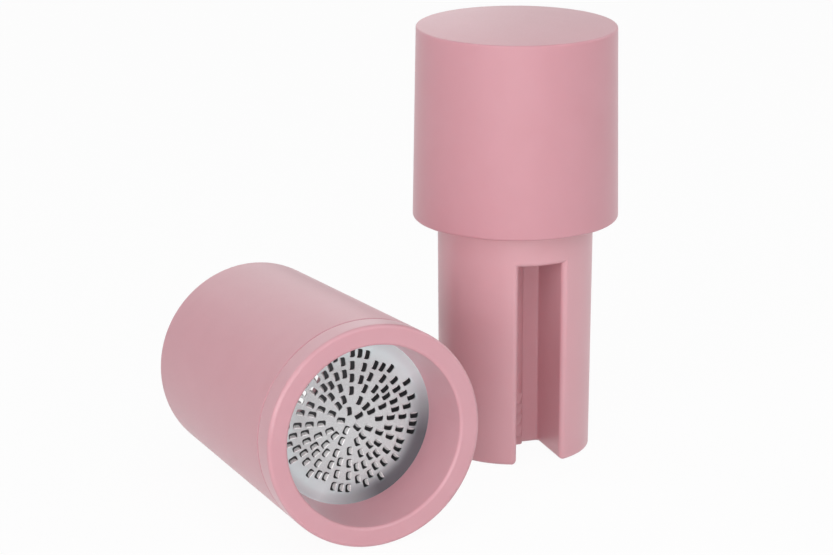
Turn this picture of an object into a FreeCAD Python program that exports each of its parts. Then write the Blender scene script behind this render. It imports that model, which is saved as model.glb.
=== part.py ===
"""Twist-action nutmeg mill, taken apart for loading.

A capped spice holder stands upright on its foot. Beside it the sleeve, with the
grater at its near end, lies on its side. Millimetres, +Z up, with the origin at
the centre of the holder's foot.
"""
import FreeCAD, Part
import math
import os

from FreeCAD import Vector, Placement, Rotation

# Spice holder: a slotted plunger that carries the nutmeg
foot_radius = 20.3
root_radius = 20.8
holder_reach = 63.9
foot_round = 0.8
holder_wall = 2.2
foot_floor = 2.4
slot_width = 12.1
slot_floor_offset = 2.1
slot_height = 55.0
slot_bearing = -95.6
slot_edge_round = 1.2
slot_corner_round = 0.5

# Grip rib on the slot's floor, notched into teeth near the foot
grip_rib_width = 3.4
grip_rib_height = 1.1
grip_tooth_count = 5
grip_tooth_pitch = 3.1
grip_tooth_bite = 0.9
grip_notch_share = 0.8
lowest_tooth_height = 2.2

# Holder flange and drive collar, hidden inside the cap
flange_thickness = 2.4
flange_clearance = 0.1
collar_wall = 1.8
collar_height = 7.0
collar_inset = 2.0
flange_round = 0.3
collar_round = 0.4

# Cap
cap_edge_radius = 27.5
cap_crown_radius = 26.7
cap_height = 51.7
crown_height = 0.9
cap_wall = 2.4
cap_edge_round = 0.8
crown_round = 0.5
snap_bead_depth = 0.45
snap_bead_height = 0.8
drive_rib_count = 4
drive_rib_thickness = 2.0
drive_rib_clearance = 0.2
drive_rib_reach = 4.4
drive_rib_top_reach = 2.0
drive_rib_top_gap = 4.0

# Glide ring between the cap and the sleeve's mouth
glide_thickness = 2.0
glide_inset = 0.2
glide_radial_gap = 0.3
glide_edge_round = 0.3
running_clearance = 0.1

# Sleeve
ring_radius = 28.6
mouth_radius = 26.3
sleeve_length = 82.9
sleeve_wall = 2.2
mouth_round = 2.4
mouth_lip = 2.4
mouth_bore_round = 0.6
seam_depth = 7.2
seam_gap = 0.25
seam_round = 0.35
shell_rib_count = 6
shell_rib_thickness = 1.6

# Base ring, whose funnel leads the grated nutmeg out
front_round = 1.0
opening_radius = 23.4
opening_round = 0.9
recess_depth = 15.85
recess_end_radius = 21.95
spigot_clearance = 0.1
spigot_wall_inset = 2.35
spigot_bead_depth = 0.4
spigot_bead_height = 1.6
spigot_bead_place = 13.4
spigot_round = 0.4
key_count = 3
key_width = 4.0
key_height = 4.0
key_depth = 1.0
key_clearance = 0.15
key_bearing = 90.0

# Grater disc
disc_thickness = 0.5
disc_radius = 23.4
disc_seat_clearance = 0.15
dome_height = 0.6
dome_radius = 21.6
crown_flat_radius = 16.5
crown_flat_height = 0.1
disc_tab_count = 3
disc_tab_width = 4.0
disc_tab_reach = 1.5
disc_tab_bearing = 30.0

# Lanced holes: a small ring in the middle, then rows that are the same in each quarter
hole_length = 2.3
hole_width = 1.3
hole_corner_round = 0.6
hole_ring_count = 5
hole_ring_radius = 2.6
hole_ring_bearing = -24.6
hole_row_pitch = 3.26
quarter_count = 4
quarter_rows = [
    # bearing, radius of the first hole, number of holes
    (-6.4, 12.5, 2),
    (-13.1, 17.4, 1),
    (-16.5, 6.0, 4),
    (-27.1, 11.2, 3),
    (-36.2, 5.4, 4),
    (-47.1, 10.1, 3),
    (-54.9, 15.7, 1),
    (-62.4, 5.6, 4),
    (-73.3, 10.8, 3),
    (-80.2, 17.5, 1),
    (-86.9, 7.9, 4),
]
tooth_width = 1.7
tooth_length = 1.0
tooth_thickness = 0.25
tooth_corner_round = 0.5
tooth_root_length = 0.2
tooth_root_depth = 0.08
tooth_angle = 60.0

# Guide tube, the sleeve's smooth bore
bore_radius = 21.3
tube_wall = 1.7
tube_flange_thickness = 2.0
tube_flange_clearance = 0.1
tube_lead_in = 0.6
tube_flange_round = 0.4
seat_gap = 0.05

# Where the sleeve lies beside the holder
sleeve_x = -67.3
sleeve_y = -58.6

overlap = 0.5
edge_margin = 0.1
axis = Vector(0, 0, 1)
origin = Vector(0, 0, 0)


def rounded_face(corners):
    """Face in the XZ plane from (radius, height, rounding) corners."""
    count = len(corners)
    arcs = []
    for index in range(count):
        radius, height, rounding = corners[index]
        before = corners[index - 1]
        after = corners[(index + 1) % count]
        point = Vector(radius, 0, height)
        back = (Vector(before[0], 0, before[1]) - point).normalize()
        ahead = (Vector(after[0], 0, after[1]) - point).normalize()
        if rounding == 0:
            arcs.append((point, point, point))
            continue
        half = back.getAngle(ahead) / 2
        reach = rounding / math.tan(half)
        inward = (back + ahead).normalize()
        middle = point + inward * (rounding / math.sin(half) - rounding)
        arcs.append((point + back * reach, middle, point + ahead * reach))
    edges = []
    for index in range(count):
        start, middle, end = arcs[index]
        if start != end:
            edges.append(Part.Arc(start, middle, end).toShape())
        following = arcs[(index + 1) % count][0]
        edges.append(Part.makeLine(end, following))
    return Part.Face(Part.Wire(edges))


def turned(corners):
    """Solid of revolution about Z from a rounded section."""
    return rounded_face(corners).revolve(origin, axis, 360)


def spun(shape, count, start=0.0):
    """Copies of a shape, evenly spaced about Z."""
    step = 360.0 / count
    return [shape.rotated(origin, axis, start + step * index) for index in range(count)]


def block(near, far, width, low, high):
    """Box across a radius: from near to far along X, centred on Y."""
    return Part.makeBox(far - near, width, high - low, Vector(near, -width / 2, low))


def plate(corners, thickness):
    """Flat web from (radius, height) corners, centred on the XZ plane."""
    points = [Vector(radius, -thickness / 2, height) for radius, height in corners]
    outline = Part.makePolygon(points + points[:1])
    return Part.Face(outline).extrude(Vector(0, thickness, 0))


def holder_radius_at(height):
    """Outer radius of the tapered holder."""
    return foot_radius + (root_radius - foot_radius) * height / holder_reach


def cap_radius_at(height):
    """Outer radius of the tapered cap, at a height above the foot."""
    share = (height - holder_reach) / cap_height
    return cap_edge_radius + (cap_crown_radius - cap_edge_radius) * share


def sleeve_radius_at(depth):
    """Outer radius of the sleeve, at a depth behind its front face."""
    share = (depth - front_round) / (sleeve_length - mouth_round - front_round)
    return ring_radius + (mouth_radius - ring_radius) * share


# Levels up the holder
glide_level = holder_reach + glide_inset
flange_level = glide_level + glide_thickness + running_clearance
flange_top = flange_level + flange_thickness
flange_radius = cap_radius_at(flange_top) - cap_wall - flange_clearance
collar_outer_radius = flange_radius - collar_inset
crown_level = holder_reach + cap_height

# Levels up the sleeve, counted from its front face
disc_back = recess_depth + disc_thickness
tube_level = disc_back + seat_gap
shell_shoulder = tube_level + tube_flange_thickness + seat_gap
lip_level = sleeve_length - mouth_lip
tube_outer_radius = bore_radius + tube_wall
spigot_radius = sleeve_radius_at(seam_depth) - spigot_wall_inset
socket_radius = spigot_radius + spigot_clearance


def slot_prism():
    """The straight slot, open to the front and at the foot, along +X."""
    far = root_radius + overlap
    prism = block(slot_floor_offset, far, slot_width, -overlap, slot_height)
    inside = [
        edge for edge in prism.Edges
        if edge.BoundBox.XMax < slot_floor_offset + edge_margin and edge.BoundBox.YLength < edge_margin
    ]
    return prism.makeFillet(slot_corner_round, inside)


def slotted_body():
    """Tapered plunger with its slot and rounded slot edges."""
    body = turned([
        (0, 0, 0),
        (foot_radius, 0, foot_round),
        (holder_radius_at(flange_level), flange_level, 0),
        (0, flange_level, 0),
    ])
    body = body.cut(slot_prism())
    mouth = block(
        slot_floor_offset + edge_margin,
        root_radius + overlap,
        slot_width + 2 * edge_margin,
        foot_round + edge_margin,
        slot_height + edge_margin,
    )
    rim = []
    for edge in body.Edges:
        middle = edge.valueAt((edge.FirstParameter + edge.LastParameter) / 2)
        outside = math.hypot(middle.x, middle.y) > foot_radius - edge_margin
        if outside and mouth.isInside(middle, edge_margin, True):
            rim.append(edge)
    return body.makeFillet(slot_edge_round, rim)


def holder_hollow():
    """Space inside the plunger, open upwards, that stays clear of the slot."""
    inner = turned([
        (0, foot_floor, 0),
        (foot_radius - holder_wall, foot_floor, foot_round),
        (root_radius - holder_wall, flange_top + overlap, 0),
        (0, flange_top + overlap, 0),
    ])
    channel = block(
        slot_floor_offset - holder_wall,
        root_radius + overlap,
        slot_width + 2 * holder_wall,
        0,
        slot_height + holder_wall,
    )
    return inner.cut(channel)


def grip_rib():
    """Low rounded rib down the slot's floor, notched into downward-facing teeth."""
    half = grip_rib_width / 2
    rib_radius = (half ** 2 + grip_rib_height ** 2) / (2 * grip_rib_height)
    centre = slot_floor_offset + grip_rib_height - rib_radius
    rib = Part.makeCylinder(rib_radius, slot_height, Vector(centre, 0, 0))
    front_half = block(
        slot_floor_offset - overlap / 2,
        slot_floor_offset + grip_rib_height,
        grip_rib_width,
        0,
        slot_height + overlap / 2,
    )
    rib = rib.common(front_half)
    face = slot_floor_offset + grip_rib_height
    for index in range(grip_tooth_count):
        top = lowest_tooth_height + grip_tooth_pitch * index
        bottom = max(top - grip_tooth_pitch * grip_notch_share, -overlap)
        corners = [
            (face - grip_tooth_bite, top),
            (face + overlap, top),
            (face + overlap, bottom),
            (face, bottom),
        ]
        rib = rib.cut(plate(corners, grip_rib_width))
    return rib


def spice_holder():
    """Slotted plunger, closing flange and drive collar in one moulding."""
    flange = turned([
        (root_radius - holder_wall, flange_level, 0),
        (flange_radius, flange_level, flange_round),
        (flange_radius, flange_top, flange_round),
        (root_radius - holder_wall, flange_top, 0),
    ])
    collar = turned([
        (collar_outer_radius - collar_wall, flange_top - overlap, 0),
        (collar_outer_radius, flange_top - overlap, 0),
        (collar_outer_radius, flange_top + collar_height, collar_round),
        (collar_outer_radius - collar_wall, flange_top + collar_height, collar_round),
    ])
    notch = block(
        collar_outer_radius - collar_wall - overlap,
        collar_outer_radius + overlap,
        drive_rib_thickness + 2 * drive_rib_clearance,
        flange_top,
        flange_top + collar_height + overlap,
    )
    for cutter in spun(notch, drive_rib_count, 180.0 / drive_rib_count):
        collar = collar.cut(cutter)
    body = slotted_body().fuse([flange, collar, grip_rib()])
    return body.cut(holder_hollow()).removeSplitter().rotated(origin, axis, slot_bearing)


def crown_dome(edge_radius, edge_height, lowest):
    """Ball segment whose surface meets a given rim, used to crown the cap."""
    ball_radius = (edge_radius ** 2 + crown_height ** 2) / (2 * crown_height)
    centre = edge_height + crown_height - ball_radius
    ball = Part.makeSphere(ball_radius, Vector(0, 0, centre))
    keep = Part.makeCylinder(edge_radius * 2, ball_radius, Vector(0, 0, lowest))
    return ball.common(keep)


def level_edges(shape, level):
    """Circular edges of a shape at one height."""
    return [
        edge for edge in shape.Edges
        if abs(edge.BoundBox.ZMin - level) < edge_margin and edge.BoundBox.ZLength < edge_margin
    ]


def cap_outside():
    """Solid outer form of the cap: taper, crown and rounded edges."""
    tall = crown_level + 2 * crown_height
    taper = Part.makeCone(
        cap_edge_radius, cap_radius_at(tall), tall - holder_reach, Vector(0, 0, holder_reach)
    )
    body = taper.common(crown_dome(cap_crown_radius, crown_level, holder_reach - overlap))
    body = body.makeFillet(crown_round, level_edges(body, crown_level))
    return body.makeFillet(cap_edge_round, level_edges(body, holder_reach))


def cap_shell():
    """Hollow crowned cap with drive ribs and a snap bead for the flange."""
    inner_top = crown_level - cap_wall
    inner = Part.makeCone(
        cap_edge_radius - cap_wall,
        cap_radius_at(inner_top + crown_height) - cap_wall,
        cap_height - cap_wall + crown_height,
        Vector(0, 0, holder_reach),
    )
    dome = crown_dome(cap_crown_radius - cap_wall, inner_top, holder_reach - overlap)
    shell = cap_outside().cut(inner.common(dome))
    bead_inner = cap_radius_at(flange_level) - cap_wall - snap_bead_depth
    bead_top = flange_level - seat_gap
    bead_back = bead_inner + snap_bead_depth + overlap
    bead = turned([
        (bead_inner, bead_top, 0),
        (bead_back, bead_top, 0),
        (bead_back, bead_top - snap_bead_height - overlap, 0),
    ])
    wall_inside = cap_radius_at(flange_top) - cap_wall
    rib_low = flange_top + seat_gap
    rib_high = inner_top - drive_rib_top_gap
    rib_foot = rib_low + collar_height + drive_rib_reach
    rib = plate([
        (wall_inside + overlap, rib_low),
        (wall_inside - drive_rib_reach, rib_low),
        (wall_inside - drive_rib_reach, rib_foot),
        (wall_inside - drive_rib_top_reach, rib_high),
        (wall_inside + overlap, rib_high),
    ], drive_rib_thickness)
    ribs = spun(rib, drive_rib_count, slot_bearing + 180.0 / drive_rib_count)
    return shell.fuse([bead] + ribs).removeSplitter()


def glide_ring():
    """Flat ring on which the turning cap glides over the sleeve's mouth."""
    inner = holder_radius_at(glide_level + glide_thickness) + running_clearance
    outer = cap_edge_radius - cap_wall - snap_bead_depth - glide_radial_gap
    return turned([
        (inner, glide_level, glide_edge_round),
        (outer, glide_level, glide_edge_round),
        (outer, glide_level + glide_thickness, glide_edge_round),
        (inner, glide_level + glide_thickness, glide_edge_round),
    ])


def spigot_keys(clearance):
    """Keys that stop the base ring turning in the sleeve, or their slots."""
    key = block(
        spigot_radius - overlap,
        spigot_radius + key_depth + clearance,
        key_width + 2 * clearance,
        seam_depth - overlap,
        seam_depth + key_height + clearance,
    )
    return spun(key, key_count, key_bearing)


def spigot_bead(clearance):
    """Snap bead round the base ring's spigot, or its groove."""
    half = spigot_bead_height / 2 + clearance
    root = spigot_radius - overlap
    crest = spigot_radius + spigot_bead_depth + clearance
    return turned([
        (root, spigot_bead_place - half - overlap, 0),
        (crest, spigot_bead_place, 0),
        (root, spigot_bead_place + half + overlap, 0),
    ])


def disc_tabs(clearance, low, high):
    """Tabs on the grater's rim, or their pockets in the base ring."""
    tab = block(
        disc_radius - disc_tab_width / 2,
        disc_radius + disc_tab_reach + clearance,
        disc_tab_width + 2 * clearance,
        low,
        high,
    )
    return spun(tab, disc_tab_count, disc_tab_bearing)


def base_ring():
    """Front ring: rounded foot, tapering funnel and keyed spigot."""
    body = turned([
        (opening_radius, 0, opening_round),
        (sleeve_radius_at(0), 0, front_round),
        (sleeve_radius_at(seam_depth), seam_depth, seam_round),
        (spigot_radius, seam_depth, 0),
        (spigot_radius, disc_back, spigot_round),
        (disc_radius + disc_seat_clearance, disc_back, 0),
        (disc_radius + disc_seat_clearance, recess_depth, 0),
        (recess_end_radius, recess_depth, 0),
    ])
    body = body.fuse([spigot_bead(0)] + spigot_keys(0))
    pockets = disc_tabs(disc_seat_clearance, recess_depth, disc_back + overlap)
    return body.cut(pockets).removeSplitter()


def disc_arcs(lift):
    """Crown and knuckle arcs of the dome, from its centre out to the flat rim."""
    low = recess_depth - dome_height + lift
    ball_radius = (crown_flat_radius ** 2 + crown_flat_height ** 2) / (2 * crown_flat_height)
    half_way = crown_flat_radius / 2
    sag = ball_radius - math.sqrt(ball_radius ** 2 - half_way ** 2)
    shoulder = Vector(crown_flat_radius, 0, low + crown_flat_height)
    rim = Vector(dome_radius, 0, recess_depth + lift)
    crown = Part.Arc(Vector(0, 0, low), Vector(half_way, 0, low + sag), shoulder)
    slope = math.asin(crown_flat_radius / ball_radius)
    run = (rim - shoulder).getAngle(Vector(1, 0, 0))
    bow = (rim - shoulder).Length / 2 * math.tan((run - slope) / 2)
    across = Vector(math.sin(run), 0, -math.cos(run))
    knuckle = Part.Arc(shoulder, (shoulder + rim) / 2 + across * bow, rim)
    return crown.toShape(), knuckle.toShape()


def dome_at(radius):
    """Height and slope in degrees of the dome's inner face at a radius."""
    crown, knuckle = disc_arcs(disc_thickness)
    circle = crown.Curve if radius < crown_flat_radius else knuckle.Curve
    slope = math.asin((radius - circle.Center.x) / circle.Radius)
    return circle.Center.z - circle.Radius * math.cos(slope), math.degrees(slope)


def hole_places():
    """Radius and bearing of each hole."""
    turn = 360.0 / hole_ring_count
    places = [(hole_ring_radius, hole_ring_bearing + turn * index) for index in range(hole_ring_count)]
    for quarter in range(quarter_count):
        start = 360.0 / quarter_count * quarter
        for bearing, first_radius, count in quarter_rows:
            for step in range(count):
                places.append((first_radius + hole_row_pitch * step, start + bearing))
    return places


def arched(width, length, corner_round, low, high):
    """Plate with a straight root along X and rounded corners at its far end along Y."""
    face = rounded_face([
        (-width / 2, 0, 0),
        (width / 2, 0, 0),
        (width / 2, length, corner_round),
        (-width / 2, length, corner_round),
    ])
    slab = face.extrude(Vector(0, high - low, 0))
    return slab.rotated(origin, Vector(1, 0, 0), -90).translated(Vector(0, 0, high))


def grater_hole(radius, bearing):
    """Cutter and raised tooth of one lanced hole."""
    height, slope = dome_at(radius)
    reach = 2 * disc_thickness
    cutter = arched(hole_length, hole_width, hole_corner_round, -reach, reach)
    tooth = arched(
        tooth_width,
        tooth_length + tooth_root_length,
        tooth_corner_round,
        -tooth_thickness,
        0,
    )
    tooth.translate(Vector(0, -tooth_root_length, 0))
    tooth.rotate(origin, Vector(1, 0, 0), tooth_angle)
    tooth.translate(Vector(0, 0, -tooth_root_depth))
    for shape in (cutter, tooth):
        shape.translate(Vector(0, -hole_width / 2, 0))
        shape.rotate(origin, Vector(0, 1, 0), -slope)
        shape.translate(Vector(radius, 0, height))
        shape.rotate(origin, axis, bearing)
    return cutter, tooth


def grater_disc():
    """Domed steel disc with its field of toothed holes."""
    front_crown, front_knuckle = disc_arcs(0)
    back_crown, back_knuckle = disc_arcs(disc_thickness)
    corners = [
        Vector(dome_radius, 0, recess_depth),
        Vector(disc_radius, 0, recess_depth),
        Vector(disc_radius, 0, disc_back),
        Vector(dome_radius, 0, disc_back),
    ]
    centre = Vector(0, 0, recess_depth - dome_height)
    closing = Part.makeLine(centre + Vector(0, 0, disc_thickness), centre)
    rim = Part.makePolygon(corners).Edges
    outline = [front_crown, front_knuckle] + rim + [back_knuckle, back_crown, closing]
    disc = Part.Face(Part.Wire(outline)).revolve(origin, axis, 360)
    disc = disc.fuse(disc_tabs(0, recess_depth, disc_back)).removeSplitter()
    holes = [grater_hole(radius, bearing) for radius, bearing in hole_places()]
    disc = disc.cut([cutter for cutter, tooth in holes])
    return disc.fuse([tooth for cutter, tooth in holes])


def guide_tube():
    """Liner that centres the holder and clamps the grater with its flange."""
    return turned([
        (bore_radius, tube_level, tube_lead_in),
        (socket_radius - tube_flange_clearance, tube_level, 0),
        (socket_radius - tube_flange_clearance, tube_level + tube_flange_thickness, tube_flange_round),
        (tube_outer_radius, tube_level + tube_flange_thickness, 0),
        (tube_outer_radius, lip_level - seat_gap, 0),
        (bore_radius, lip_level - seat_gap, tube_lead_in),
    ])


def sleeve_shell():
    """Tapered outer sleeve with a lipped mouth and ribs round the guide tube."""
    inner_low = sleeve_radius_at(shell_shoulder) - sleeve_wall
    inner_high = sleeve_radius_at(lip_level) - sleeve_wall
    shell_level = seam_depth + seam_gap
    body = turned([
        (socket_radius, shell_level, 0),
        (sleeve_radius_at(shell_level), shell_level, seam_round),
        (sleeve_radius_at(sleeve_length), sleeve_length, mouth_round),
        (bore_radius, sleeve_length, mouth_bore_round),
        (bore_radius, lip_level, 0),
        (inner_high, lip_level, 0),
        (inner_low, shell_shoulder, 0),
        (socket_radius, shell_shoulder, 0),
    ])
    rib = plate([
        (tube_outer_radius + seat_gap, shell_shoulder),
        (inner_low + overlap, shell_shoulder),
        (inner_high + overlap, lip_level + overlap),
        (tube_outer_radius + seat_gap, lip_level + overlap),
    ], shell_rib_thickness)
    body = body.fuse(spun(rib, shell_rib_count))
    cutters = [spigot_bead(spigot_clearance)] + spigot_keys(key_clearance)
    return body.cut(cutters).removeSplitter()


def laid_down(shape):
    """Lay a piece of the sleeve on its side, resting along its taper."""
    taper_length = sleeve_length - mouth_round - front_round
    tilt = math.atan2(ring_radius - mouth_radius, taper_length)
    height = ring_radius * math.cos(tilt) + front_round * math.sin(tilt)
    turn = Rotation(Vector(1, 0, 0), -90 - math.degrees(tilt))
    laid = shape.copy()
    place = Placement(Vector(sleeve_x, sleeve_y, height), turn)
    laid.Placement = place.multiply(laid.Placement)
    return laid


os.makedirs("parts", exist_ok=True)
pieces = {
    "spice_holder": spice_holder(),
    "cap_shell": cap_shell(),
    "glide_ring": glide_ring(),
    "base_ring": laid_down(base_ring()),
    "grater_disc": laid_down(grater_disc()),
    "guide_tube": laid_down(guide_tube()),
    "sleeve_shell": laid_down(sleeve_shell()),
}
for name, shape in pieces.items():
    shape.exportStep("parts/" + name + ".step")
    bounds = shape.BoundBox
    low = (round(bounds.XMin, 1), round(bounds.YMin, 1), round(bounds.ZMin, 1))
    high = (round(bounds.XMax, 1), round(bounds.YMax, 1), round(bounds.ZMax, 1))
    print(name, "solids", len(shape.Solids), "valid", shape.isValid(), low, high, round(shape.Volume))
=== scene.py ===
# Looks of the twist-action nutmeg mill, taken apart: capped spice holder and lying sleeve.
import math

import bpy
from mathutils import Matrix, Vector


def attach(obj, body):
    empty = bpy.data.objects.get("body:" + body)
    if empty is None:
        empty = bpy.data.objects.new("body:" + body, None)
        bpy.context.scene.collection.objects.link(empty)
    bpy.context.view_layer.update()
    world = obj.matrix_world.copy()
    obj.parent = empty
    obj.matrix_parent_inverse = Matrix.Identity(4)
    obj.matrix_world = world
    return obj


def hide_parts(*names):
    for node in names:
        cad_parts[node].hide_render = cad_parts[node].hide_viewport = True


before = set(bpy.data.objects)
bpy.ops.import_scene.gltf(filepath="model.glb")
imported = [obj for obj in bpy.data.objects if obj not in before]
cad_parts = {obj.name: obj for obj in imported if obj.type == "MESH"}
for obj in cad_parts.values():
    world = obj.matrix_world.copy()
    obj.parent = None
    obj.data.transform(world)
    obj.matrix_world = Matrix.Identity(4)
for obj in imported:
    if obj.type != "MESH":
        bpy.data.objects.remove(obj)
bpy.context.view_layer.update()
print("frame loaded:", sorted(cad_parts))

mm = 0.001
noiseRange = (0.3, 0.7)  # most values of a noise texture lie between these


def hexToLinear(code):
    # sRGB hex to the linear colour that the shader wants
    values = [int(code[i:i + 2], 16) / 255 for i in (1, 3, 5)]
    linear = [v / 12.92 if v <= 0.04045 else ((v + 0.055) / 1.055) ** 2.4 for v in values]
    return (*linear, 1.0)


def addNode(tree, kind, settings=None, inputs=None):
    # settings are the node's own properties
    # inputs are its sockets: a value, or another node's output
    node = tree.nodes.new(kind)
    for name, value in (settings or {}).items():
        setattr(node, name, value)
    for key, value in (inputs or {}).items():
        if isinstance(value, bpy.types.NodeSocket):
            tree.links.new(value, node.inputs[key])
        else:
            node.inputs[key].default_value = value
    return node


def newMaterial(name):
    material = bpy.data.materials.new(name)
    material.use_nodes = True
    tree = material.node_tree
    tree.nodes.clear()
    return material, tree


def noise(tree, place, size, detail, roughness):
    # blotches about size mm across
    return addNode(tree, "ShaderNodeTexNoise", inputs={
        "Vector": place, "Scale": 1 / (size * mm), "Detail": detail, "Roughness": roughness,
    }).outputs["Fac"]


def blend(tree, share, first, second):
    return addNode(tree, "ShaderNodeMix", {"data_type": "RGBA"}, {
        "Factor": share, "A": first, "B": second,
    }).outputs[2]


def noiseToRange(tree, value, low, high):
    return addNode(tree, "ShaderNodeMapRange", inputs={
        "Value": value,
        "From Min": noiseRange[0],
        "From Max": noiseRange[1],
        "To Min": low,
        "To Max": high,
    }).outputs["Result"]


def relief(tree, height, depth):
    return addNode(tree, "ShaderNodeBump", inputs={
        "Height": height, "Strength": 1.0, "Distance": depth * mm,
    }).outputs["Normal"]


sleeveRest = {
    "x": -67.3,
    "y": -58.6,
    "ringRadius": 28.6,
    "mouthRadius": 26.3,
    "taperLength": 79.5,
    "frontRound": 1.0,
}


graterPlate = {
    "depth": 15.85,  # of the flat rim behind the sleeve's front face
    "plateRadius": 22.3,
    "fieldRadius": 19.4,  # the holes lie within this
    "thickness": 0.4,
    "domeHeight": 0.6,
    "crownRadius": 16.5,
    "crownHeight": 0.1,
    "knuckle": 0.0165,  # 1/mm, how fast the plate falls away outside its crown
    "holeLength": 2.35,
    "holeWidth": 1.5,
    "holeRound": 0.55,
    "rootRound": 0.36,
    "tongueWidth": 1.7,
    "tongueLength": 1.1,
    "tongueRoot": 0.15,  # share of its length in which it bends
    "tongueBend": 58.0,  # degrees
    "tipStart": 0.4,  # share of its length from which it narrows
    "tipNarrowing": 0.75,  # share of the squared width lost at the tip
    "edgeRound": 0.08,
    "edgeAngle": 50.0,  # degrees, sharper edges than this are rounded
    "roundSteps": 180,
    "bandSteps": 12,
    "tongueSteps": (7, 12),
    "cornerSteps": 5,
    "weldDistance": 0.002,
    "ringCount": 5,
    "ringRadius": 2.6,
    "ringBearing": -24.6,
    "rowPitch": 3.26,
    "quarters": 4,
    "rows": [  # bearing, first radius, holes in the row
        (-6.4, 12.5, 2),
        (-13.1, 17.4, 1),
        (-16.5, 6.0, 3),
        (-19.4, 15.6, 1),
        (-27.1, 11.2, 3),
        (-36.2, 5.4, 4),
        (-47.1, 10.1, 3),
        (-54.9, 15.7, 1),
        (-62.4, 5.6, 4),
        (-73.3, 10.8, 3),
        (-80.2, 17.5, 1),
        (-86.9, 7.9, 4),
    ],
}


def sleeveFrame():
    # from the sleeve's own frame, upright with its front face at 0, to where it lies
    rest = sleeveRest
    tilt = math.atan2(rest["ringRadius"] - rest["mouthRadius"], rest["taperLength"])
    height = rest["ringRadius"] * math.cos(tilt) + rest["frontRound"] * math.sin(tilt)
    place = Matrix.Translation(Vector((rest["x"], rest["y"], height)) * mm)
    return place @ Matrix.Rotation(-math.pi / 2 - tilt, 4, "X")


glowReach = (1.0, 0.6, 0.6)  # how far red, green and blue light spread inside the plastics

softTouch = {  # thin elastomer skin on ABS: satin, glows a little, faint bloom at the rim
    "name": "softTouchElastomer",
    "dark": "#CA929B",
    "light": "#CE97A1",
    "mottle": 9.0,  # mm, slow drift of the colour
    "grain": 0.45,  # mm, the paint's orange peel, drawn coarser than real so that it shows
    "grainDepth": 0.006,  # mm
    "roughness": (0.31, 0.39),
    "ior": 1.42,
    "sheen": 0.06,
    "sheenRoughness": 0.35,
    "glow": 0.2,  # share of the light that goes in and comes out beside
    "glowDepth": 2.5,  # mm
}
ringPlastic = {  # the same skin on the ring, smoother
    "name": "satinElastomer",
    "dark": "#CB97A0",
    "light": "#CF9DA6",
    "mottle": 7.0,
    "grain": 0.45,
    "grainDepth": 0.0012,
    "roughness": (0.29, 0.33),
    "ior": 1.45,
    "sheen": 0.06,
    "sheenRoughness": 0.35,
    "glow": 0.2,
    "glowDepth": 2.5,
}
holderPlastic = {  # bare moulded ABS with a fine spark-eroded texture
    "name": "mouldedPinkAbs",
    "dark": "#D4A0A8",
    "light": "#D8A6AE",
    "mottle": 12.0,
    "grain": 0.35,
    "grainDepth": 0.005,
    "roughness": (0.32, 0.40),
    "ior": 1.53,
    "sheen": 0.0,
    "sheenRoughness": 0.5,
    "glow": 0.2,
    "glowDepth": 3.0,
}
linerPlastic = {  # dark liner behind the grater
    "name": "mouldedCharcoalAbs",
    "dark": "#4C4C50",
    "light": "#56565B",
    "mottle": 10.0,
    "grain": 0.4,
    "grainDepth": 0.006,
    "roughness": (0.72, 0.82),
    "ior": 1.4,
    "sheen": 0.0,
    "sheenRoughness": 0.5,
    "glow": 0.0,
    "glowDepth": 1.0,
}
glidePlastic = {  # waxy off-white bearing plastic
    "name": "turnedAcetal",
    "dark": "#D8D4CC",
    "light": "#E2DFD8",
    "mottle": 6.0,
    "grain": 0.3,
    "grainDepth": 0.003,
    "roughness": (0.30, 0.38),
    "ior": 1.48,
    "sheen": 0.0,
    "sheenRoughness": 0.5,
    "glow": 0.2,
    "glowDepth": 2.0,
}


def plastic(look):
    material, tree = newMaterial(look["name"])
    place = addNode(tree, "ShaderNodeTexCoord").outputs["Object"]
    mottle = noise(tree, place, look["mottle"], 2.0, 0.5)
    grain = noise(tree, place, look["grain"], 3.0, 0.6)
    shader = addNode(tree, "ShaderNodeBsdfPrincipled", inputs={
        "Base Color": blend(tree, mottle, hexToLinear(look["dark"]), hexToLinear(look["light"])),
        "Roughness": noiseToRange(tree, grain, *look["roughness"]),
        "Normal": relief(tree, grain, look["grainDepth"]),
        "IOR": look["ior"],
        "Sheen Weight": look["sheen"],
        "Sheen Roughness": look["sheenRoughness"],
        "Subsurface Weight": look["glow"],
        "Subsurface Radius": glowReach,
        "Subsurface Scale": look["glowDepth"] * mm,
    })
    addNode(tree, "ShaderNodeOutputMaterial", inputs={"Surface": shader.outputs["BSDF"]})
    return material


graterSteel = {  # stamped stainless sheet, bead blasted: broad soft reflections
    "name": "beadBlastedStainless",
    "dark": "#AAAEAF",
    "light": "#DCE0E1",
    "grain": 0.32,  # mm, blasting grit, drawn as coarse as it needs to show
    "grainDepth": 0.004,
    "metallic": 0.3,  # the blasted pits scatter so broadly that part of it looks matt
    "roughness": (0.36, 0.46),
    "paintedRimLight": "#DDECEE",  # painted light: the rim outside the holes is coloured brighter, standing in for bright reflections
    "shade": "#666B70",  # painted shade: the rim is coloured darker on the side where it dips away from the light
    "shadeRadii": (14.0, 19.5),  # mm from the plate's centre, over which it sets in
    "shadeBearing": 42.0,  # degrees in the sleeve's frame
    "shadeSpread": (0.3, 0.9),  # cosine of the angle off that bearing
}


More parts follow.
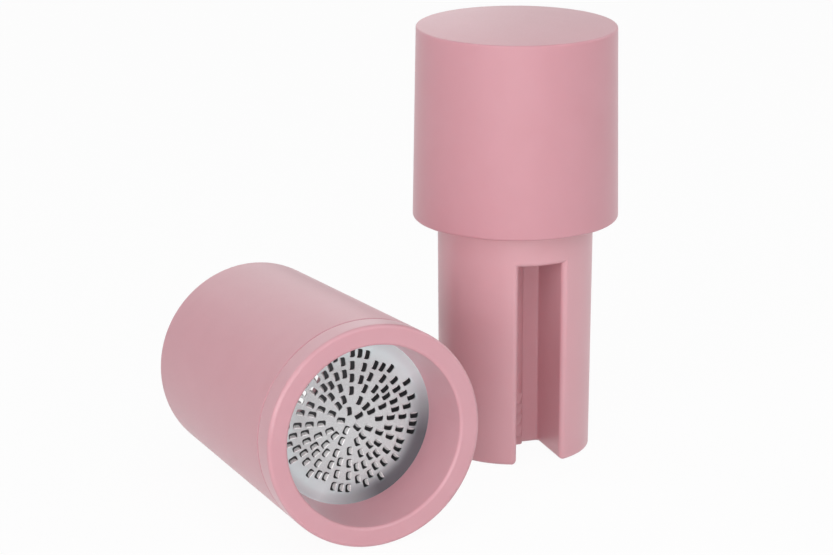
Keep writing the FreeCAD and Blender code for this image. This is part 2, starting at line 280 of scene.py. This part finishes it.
def rimShares(tree, look, place):
    # masks for the painted rim light and the painted shade: how far out on the plate's rim a
    # point lies, and how far on its shaded side
    centre = sleeveFrame() @ Vector((0, 0, graterPlate["depth"] * mm))
    bearing = math.radians(look["shadeBearing"])
    away = sleeveFrame().to_3x3() @ Vector((math.cos(bearing), math.sin(bearing), 0))

    def vectorMath(operation, *values, output=0):
        inputs = dict(enumerate(values))
        node = addNode(tree, "ShaderNodeVectorMath", {"operation": operation}, inputs)
        return node.outputs[output]

    arm = vectorMath("SUBTRACT", place, centre)
    reach = vectorMath("LENGTH", arm, output="Value")
    turn = vectorMath("DOT_PRODUCT", vectorMath("NORMALIZE", arm), away, output="Value")
    low, high = look["shadeRadii"]
    outward = addNode(tree, "ShaderNodeMapRange", {"interpolation_type": "SMOOTHSTEP"}, {
        "Value": reach, "From Min": low * mm, "From Max": high * mm,
    })
    low, high = look["shadeSpread"]
    sideways = addNode(tree, "ShaderNodeMapRange", inputs={
        "Value": turn, "From Min": low, "From Max": high,
    })
    shaded = addNode(tree, "ShaderNodeMath", {"operation": "MULTIPLY"}, {
        0: outward.outputs["Result"], 1: sideways.outputs["Result"],
    })
    return outward.outputs["Result"], shaded.outputs[0]


def steel(look):
    material, tree = newMaterial(look["name"])
    place = addNode(tree, "ShaderNodeTexCoord").outputs["Object"]
    grit = noise(tree, place, look["grain"], 2.0, 0.7)
    blasted = blend(tree, grit, hexToLinear(look["dark"]), hexToLinear(look["light"]))
    outward, shadedSide = rimShares(tree, look, place)
    # painted light: the rim outside the holes is lightened
    rimWithPaintedLight = blend(tree, outward, blasted, hexToLinear(look["paintedRimLight"]))
    shader = addNode(tree, "ShaderNodeBsdfPrincipled", inputs={
        # painted shade: the rim is darkened on its side turned from the light
        "Base Color": blend(tree, shadedSide, rimWithPaintedLight, hexToLinear(look["shade"])),
        "Metallic": look["metallic"],
        "Roughness": noiseToRange(tree, grit, *look["roughness"]),
        "Normal": relief(tree, grit, look["grainDepth"]),
    })
    addNode(tree, "ShaderNodeOutputMaterial", inputs={"Surface": shader.outputs["BSDF"]})
    return material


tongueSteel = {  # painted light: the bent tongues get a brighter copy of the plate's steel, so they read as lit
    "name": "paintedLightTongueStainless",
    "colour": "#F2F5F5",
    "metallic": 0.3,
    "grain": 0.25,
    "roughness": (0.25, 0.35),
}


def brightSteel(look):
    material, tree = newMaterial(look["name"])
    place = addNode(tree, "ShaderNodeTexCoord").outputs["Object"]
    scratch = noise(tree, place, look["grain"], 2.0, 0.6)
    shader = addNode(tree, "ShaderNodeBsdfPrincipled", inputs={
        # painted light: the tongues' colour is lighter than the plate's steel
        "Base Color": hexToLinear(look["colour"]),
        "Metallic": look["metallic"],
        "Roughness": noiseToRange(tree, scratch, *look["roughness"]),
    })
    addNode(tree, "ShaderNodeOutputMaterial", inputs={"Surface": shader.outputs["BSDF"]})
    return material


softTouchPink = plastic(softTouch)
satinPink = plastic(ringPlastic)
mouldedPink = plastic(holderPlastic)
mouldedCharcoal = plastic(linerPlastic)
turnedAcetal = plastic(glidePlastic)
blastedSteel = steel(graterSteel)
paintedLightTongueSteel = brightSteel(tongueSteel)

finishes = {
    "cap_shell": softTouchPink,
    "base_ring": satinPink,
    "sleeve_shell": softTouchPink,
    "spice_holder": mouldedPink,
    "guide_tube": mouldedCharcoal,
    "glide_ring": turnedAcetal,
    "grater_disc": blastedSteel,
}
for name, material in finishes.items():
    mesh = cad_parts[name].data
    mesh.materials.clear()
    mesh.materials.append(material)
print("finishes applied:", len(finishes))


def holePoints():
    # one vertex per hole, with the hole's bearing as an attribute
    plate = graterPlate
    spots = []
    for index in range(plate["ringCount"]):
        turned = 360 / plate["ringCount"] * index
        spots.append((plate["ringRadius"], plate["ringBearing"] + turned))
    for quarter in range(plate["quarters"]):
        start = 360 / plate["quarters"] * quarter
        for bearing, firstRadius, count in plate["rows"]:
            for step in range(count):
                spots.append((firstRadius + plate["rowPitch"] * step, start + bearing))
    mesh = bpy.data.meshes.new("holePoints")
    bearings = [math.radians(bearing) for radius, bearing in spots]
    points = [
        (radius * math.cos(angle) * mm, radius * math.sin(angle) * mm, 0)
        for (radius, bearing), angle in zip(spots, bearings)
    ]
    mesh.from_pydata(points, [], [])
    attribute = mesh.attributes.new("bearing", "FLOAT", "POINT")
    attribute.data.foreach_set("value", bearings)
    return mesh


def graterTree(plateMaterial, tongueMaterial):
    tree = bpy.data.node_groups.new("lancedPlate", "GeometryNodeTree")
    tree.is_modifier = True
    tree.interface.new_socket("Geometry", in_out="INPUT", socket_type="NodeSocketGeometry")
    tree.interface.new_socket("Geometry", in_out="OUTPUT", socket_type="NodeSocketGeometry")
    plate = graterPlate
    sizes = {
        "Plate Radius": plate["plateRadius"] * mm,
        "Field Radius": plate["fieldRadius"] * mm,
        "Thickness": plate["thickness"] * mm,
        "Dome Height": plate["domeHeight"] * mm,
        "Crown Radius": plate["crownRadius"] * mm,
        "Crown Height": plate["crownHeight"] * mm,
        "Knuckle": plate["knuckle"] / mm,
        "Hole Length": plate["holeLength"] * mm,
        "Hole Width": plate["holeWidth"] * mm,
        "Hole Round": plate["holeRound"] * mm,
        "Root Round": plate["rootRound"] * mm,
        "Tongue Width": plate["tongueWidth"] * mm,
        "Tongue Length": plate["tongueLength"] * mm,
        "Tongue Root": plate["tongueRoot"],
        "Tongue Bend": math.radians(plate["tongueBend"]),
    }
    values = {}
    for name, value in sizes.items():
        socket = tree.interface.new_socket(name, in_out="INPUT", socket_type="NodeSocketFloat")
        values[socket.identifier] = value
    given = addNode(tree, "NodeGroupInput").outputs

    def maths(operation, first, second=0.0):
        inputs = {0: first, 1: second}
        return addNode(tree, "ShaderNodeMath", {"operation": operation}, inputs).outputs[0]

    here = addNode(tree, "GeometryNodeInputPosition").outputs[0]
    split = addNode(tree, "ShaderNodeSeparateXYZ", inputs={0: here}).outputs

    # hole outline, rounded more at the far side than at the root
    outline = addNode(tree, "GeometryNodeCurvePrimitiveQuadrilateral", inputs={
        "Width": given["Hole Length"], "Height": given["Hole Width"],
    })
    far = maths("GREATER_THAN", split[1], 0.0)
    rounding = maths("MAXIMUM", maths("MULTIPLY", far, given["Hole Round"]), given["Root Round"])
    outline = addNode(tree, "GeometryNodeFilletCurve", {"mode": "POLY"}, {
        "Curve": outline.outputs[0], "Count": plate["cornerSteps"], "Radius": rounding,
    })
    bearing = addNode(tree, "GeometryNodeInputNamedAttribute", {"data_type": "FLOAT"}, {
        "Name": "bearing",
    })
    turn = addNode(tree, "ShaderNodeCombineXYZ", inputs={2: bearing.outputs[0]})
    holes = addNode(tree, "GeometryNodeInstanceOnPoints", inputs={
        "Points": given["Geometry"], "Instance": outline.outputs[0], "Rotation": turn.outputs[0],
    })
    holes = addNode(tree, "GeometryNodeRealizeInstances", inputs={0: holes.outputs[0]})
    rim = addNode(tree, "GeometryNodeCurvePrimitiveCircle", inputs={
        "Resolution": plate["roundSteps"], "Radius": given["Field Radius"],
    })
    curves = addNode(tree, "GeometryNodeJoinGeometry")
    tree.links.new(rim.outputs[0], curves.inputs[0])
    tree.links.new(holes.outputs[0], curves.inputs[0])
    field = addNode(tree, "GeometryNodeFillCurve", {"mode": "TRIANGLES"}, {
        "Curve": curves.outputs[0],
    })

    # plain band outside the holes, as a grid bent round
    grid = addNode(tree, "GeometryNodeMeshGrid", inputs={
        "Size X": 1.0,
        "Size Y": 1.0,
        "Vertices X": plate["roundSteps"] + 1,
        "Vertices Y": plate["bandSteps"],
    })
    angle = maths("MULTIPLY", maths("ADD", split[0], 0.5), -2 * math.pi)
    width = maths("SUBTRACT", given["Plate Radius"], given["Field Radius"])
    outward = maths("MULTIPLY", maths("ADD", split[1], 0.5), width)
    radius = maths("ADD", outward, given["Field Radius"])
    bentRound = addNode(tree, "ShaderNodeCombineXYZ", inputs={
        0: maths("MULTIPLY", radius, maths("COSINE", angle)),
        1: maths("MULTIPLY", radius, maths("SINE", angle)),
    })
    band = addNode(tree, "GeometryNodeSetPosition", inputs={
        "Geometry": grid.outputs[0], "Position": bentRound.outputs[0],
    })

    # tongue: narrows to a rounded tip and bends inwards from its root
    strip = addNode(tree, "GeometryNodeMeshGrid", inputs={
        "Size X": 1.0,
        "Size Y": 1.0,
        "Vertices X": plate["tongueSteps"][0],
        "Vertices Y": plate["tongueSteps"][1],
    })
    along = maths("ADD", split[1], 0.5)
    tip = maths("MAXIMUM", maths("SUBTRACT", along, plate["tipStart"]), 0.0)
    tip = maths("DIVIDE", tip, 1 - plate["tipStart"])
    lost = maths("MULTIPLY", maths("POWER", tip, 2.0), plate["tipNarrowing"])
    narrow = maths("SQRT", maths("SUBTRACT", 1.0, lost))
    curled = maths("MINIMUM", maths("DIVIDE", along, given["Tongue Root"]), 1.0)
    bend = maths("MULTIPLY", curled, given["Tongue Bend"])
    rootLength = maths("MULTIPLY", given["Tongue Length"], given["Tongue Root"])
    arc = maths("DIVIDE", rootLength, given["Tongue Bend"])
    beyond = maths("MAXIMUM", maths("SUBTRACT", along, given["Tongue Root"]), 0.0)
    run = maths("MULTIPLY", beyond, given["Tongue Length"])
    root = maths("MULTIPLY", given["Hole Width"], -0.5)
    sine = maths("SINE", bend)
    cosine = maths("COSINE", bend)
    out = maths("ADD", maths("MULTIPLY", arc, sine), maths("MULTIPLY", run, cosine))
    sunk = maths("MULTIPLY", arc, maths("SUBTRACT", 1.0, cosine))
    down = maths("ADD", sunk, maths("MULTIPLY", run, sine))
    bent = addNode(tree, "ShaderNodeCombineXYZ", inputs={
        0: maths("MULTIPLY", maths("MULTIPLY", split[0], given["Tongue Width"]), narrow),
        1: maths("ADD", out, root),
        2: down,
    })
    tongue = addNode(tree, "GeometryNodeSetPosition", inputs={
        "Geometry": strip.outputs[0], "Position": bent.outputs[0],
    })
    tongues = addNode(tree, "GeometryNodeInstanceOnPoints", inputs={
        "Points": given["Geometry"], "Instance": tongue.outputs[0], "Rotation": turn.outputs[0],
    })
    tongues = addNode(tree, "GeometryNodeRealizeInstances", inputs={0: tongues.outputs[0]})
    onFaces = {"data_type": "BOOLEAN", "domain": "FACE"}
    tongues = addNode(tree, "GeometryNodeStoreNamedAttribute", onFaces, {
        "Geometry": tongues.outputs[0], "Name": "onTongue", "Value": True,
    })

    # one sheet, domed towards the front and given its thickness inwards
    sheet = addNode(tree, "GeometryNodeJoinGeometry")
    for part in (field, band, tongues):
        tree.links.new(part.outputs[0], sheet.inputs[0])
    sheet = addNode(tree, "GeometryNodeMergeByDistance", inputs={
        "Geometry": sheet.outputs[0], "Distance": plate["weldDistance"] * mm,
    })
    flat = addNode(tree, "ShaderNodeCombineXYZ", inputs={0: split[0], 1: split[1]})
    measure = addNode(tree, "ShaderNodeVectorMath", {"operation": "LENGTH"}, {0: flat.outputs[0]})
    reach = measure.outputs["Value"]
    crownShare = maths("POWER", maths("DIVIDE", reach, given["Crown Radius"]), 2.0)
    crown = maths("MULTIPLY", crownShare, given["Crown Height"])
    past = maths("MAXIMUM", maths("SUBTRACT", reach, given["Crown Radius"]), 0.0)
    fall = maths("MULTIPLY", maths("POWER", past, 2.0), given["Knuckle"])
    level = maths("SUBTRACT", maths("ADD", crown, fall), given["Dome Height"])
    level = maths("MINIMUM", level, 0.0)
    lift = addNode(tree, "ShaderNodeCombineXYZ", inputs={2: level})
    domed = addNode(tree, "GeometryNodeSetPosition", inputs={
        "Geometry": sheet.outputs[0], "Offset": lift.outputs[0],
    })
    back = addNode(tree, "GeometryNodeExtrudeMesh", {"mode": "FACES"}, {
        "Mesh": domed.outputs[0], "Offset Scale": given["Thickness"], "Individual": False,
    })
    front = addNode(tree, "GeometryNodeFlipFaces", inputs={"Mesh": domed.outputs[0]})
    solid = addNode(tree, "GeometryNodeJoinGeometry")
    tree.links.new(back.outputs[0], solid.inputs[0])
    tree.links.new(front.outputs[0], solid.inputs[0])
    solid = addNode(tree, "GeometryNodeMergeByDistance", inputs={
        "Geometry": solid.outputs[0], "Distance": plate["weldDistance"] * mm,
    })
    solid = addNode(tree, "GeometryNodeSetShadeSmooth", inputs={"Geometry": solid.outputs[0]})
    solid = addNode(tree, "GeometryNodeRealizeInstances", inputs={0: solid.outputs[0]})
    solid = addNode(tree, "GeometryNodeSetMaterial", inputs={
        "Geometry": solid.outputs[0], "Material": plateMaterial,
    })
    onTongue = addNode(tree, "GeometryNodeInputNamedAttribute", {"data_type": "BOOLEAN"}, {
        "Name": "onTongue",
    })
    solid = addNode(tree, "GeometryNodeSetMaterial", inputs={
        "Geometry": solid.outputs[0],
        "Selection": onTongue.outputs[0],
        "Material": tongueMaterial,
    })
    addNode(tree, "NodeGroupOutput", inputs={0: solid.outputs[0]})
    return tree, values


def makeGraterPlate():
    tree, values = graterTree(blastedSteel, paintedLightTongueSteel)
    plate = bpy.data.objects.new("graterPlate", holePoints())
    bpy.context.scene.collection.objects.link(plate)
    lanced = plate.modifiers.new("lanced", "NODES")
    lanced.node_group = tree
    for identifier, value in values.items():
        lanced[identifier] = value
    edges = plate.modifiers.new("edges", "BEVEL")
    edges.width = graterPlate["edgeRound"] * mm
    edges.segments = 2
    edges.limit_method = "ANGLE"
    edges.angle_limit = math.radians(graterPlate["edgeAngle"])
    edges.use_clamp_overlap = True
    faces = plate.modifiers.new("faces", "WEIGHTED_NORMAL")
    faces.keep_sharp = True
    evaluated = plate.evaluated_get(bpy.context.evaluated_depsgraph_get())
    mesh = bpy.data.meshes.new_from_object(evaluated)
    plate.modifiers.clear()
    plate.data = mesh
    drop = Matrix.Translation(Vector((0, 0, graterPlate["depth"] * mm)))
    mesh.transform(sleeveFrame() @ drop)
    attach(plate, "sleeve")
    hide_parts("grater_disc")
    print("grater plate:", len(mesh.vertices), "vertices,", len(mesh.polygons), "faces")


makeGraterPlate()


studio = {
    "floorColour": "#F4F4F4",
    "floorWhite": 0.95,  # share of plain white that the camera and reflections see on the floor
    "floorSize": 8.0,
    "floorDrop": 0.05,  # mm below the part's foot
    "lampTarget": (-0.03, -0.02, 0.05),
}


def backdropShare(tree):
    # 1 for camera, glossy and transmission rays, 0 for the light that falls on the object
    path = addNode(tree, "ShaderNodeLightPath")
    seen = addNode(tree, "ShaderNodeMath", {"operation": "MAXIMUM"}, {
        0: path.outputs["Is Camera Ray"], 1: path.outputs["Is Glossy Ray"],
    })
    return addNode(tree, "ShaderNodeMath", {"operation": "MAXIMUM"}, {
        0: seen.outputs[0], 1: path.outputs["Is Transmission Ray"],
    }).outputs[0]


def makeFloor():
    size = studio["floorSize"] / 2
    mesh = bpy.data.meshes.new("studioFloor")
    level = -studio["floorDrop"] * mm
    corners = [(-size, -size), (size, -size), (size, size), (-size, size)]
    mesh.from_pydata([(x, y, level) for x, y in corners], [], [(0, 1, 2, 3)])
    floor = bpy.data.objects.new("studioFloor", mesh)
    bpy.context.scene.collection.objects.link(floor)
    material, tree = newMaterial("studioPaper")
    paper = addNode(tree, "ShaderNodeBsdfDiffuse", inputs={
        "Color": hexToLinear(studio["floorColour"]),
    })
    white = addNode(tree, "ShaderNodeEmission", inputs={"Strength": 1.0})
    share = addNode(tree, "ShaderNodeMath", {"operation": "MULTIPLY"}, {
        0: backdropShare(tree), 1: studio["floorWhite"],
    })
    mixed = addNode(tree, "ShaderNodeMixShader", inputs={
        0: share.outputs[0], 1: paper.outputs[0], 2: white.outputs[0],
    })
    addNode(tree, "ShaderNodeOutputMaterial", inputs={"Surface": mixed.outputs[0]})
    mesh.materials.append(material)


def makeWorld():
    world = bpy.data.worlds.new("studioWorld")
    bpy.context.scene.world = world
    world.use_nodes = True
    tree = world.node_tree
    tree.nodes.clear()
    white = addNode(tree, "ShaderNodeBackground", inputs={
        "Color": (1, 1, 1, 1), "Strength": backdropShare(tree),
    })
    addNode(tree, "ShaderNodeOutputWorld", inputs={"Surface": white.outputs[0]})


lamps = [
    # name, position, width, height, watts
    ("overheadBox", (-0.1, -0.1, 1.3), 1.1, 1.1, 4.0),
    ("rightBox", (1.3, -0.1, 0.6), 0.8, 0.8, 4.2),
    ("backLeftBox", (-0.7, 0.9, 0.9), 0.8, 0.8, 3.2),
    ("backRightBox", (0.8, 0.9, 0.9), 0.8, 0.8, 0.9),
    ("lowBackBox", (0.2, 1.3, 0.45), 0.8, 0.5, 1.1),
    ("leftBox", (-1.2, -0.5, 0.3), 0.8, 0.5, 3.4),
    ("frontLeftBox", (-0.9, -0.9, 0.9), 0.8, 0.8, 4.5),
    ("frontRightBox", (0.35, -0.9, 0.75), 0.8, 0.8, 3.6),
    ("lensBox", (-0.5, -1.0, 0.21), 1.0, 0.36, 5.0),
]


def makeLamps():
    for name, position, width, height, watts in lamps:
        lamp = bpy.data.lights.new(name, "AREA")
        lamp.shape = "RECTANGLE"
        lamp.size = width
        lamp.size_y = height
        lamp.energy = watts
        stand = bpy.data.objects.new(name, lamp)
        aim = Vector(studio["lampTarget"]) - Vector(position)
        turn = aim.to_track_quat("-Z", "Y").to_matrix().to_4x4()
        stand.matrix_world = Matrix.Translation(position) @ turn
        bpy.context.scene.collection.objects.link(stand)


view = {
    "position": (-0.38604, -0.77617, 0.29359),
    "pitch": 74.08,  # degrees from looking straight down
    "heading": -24.695,
    "lens": 144.6,
}


def makeCamera():
    data = bpy.data.cameras.new("productCamera")
    data.sensor_width = 36.0
    data.lens = view["lens"]
    data.clip_start = 0.01
    camera = bpy.data.objects.new("productCamera", data)
    camera.location = view["position"]
    camera.rotation_euler = (math.radians(view["pitch"]), 0, math.radians(view["heading"]))
    bpy.context.scene.collection.objects.link(camera)
    bpy.context.scene.camera = camera


makeFloor()
makeWorld()
makeLamps()
makeCamera()
bpy.context.scene.view_settings.view_transform = "Standard"
print("studio ready")
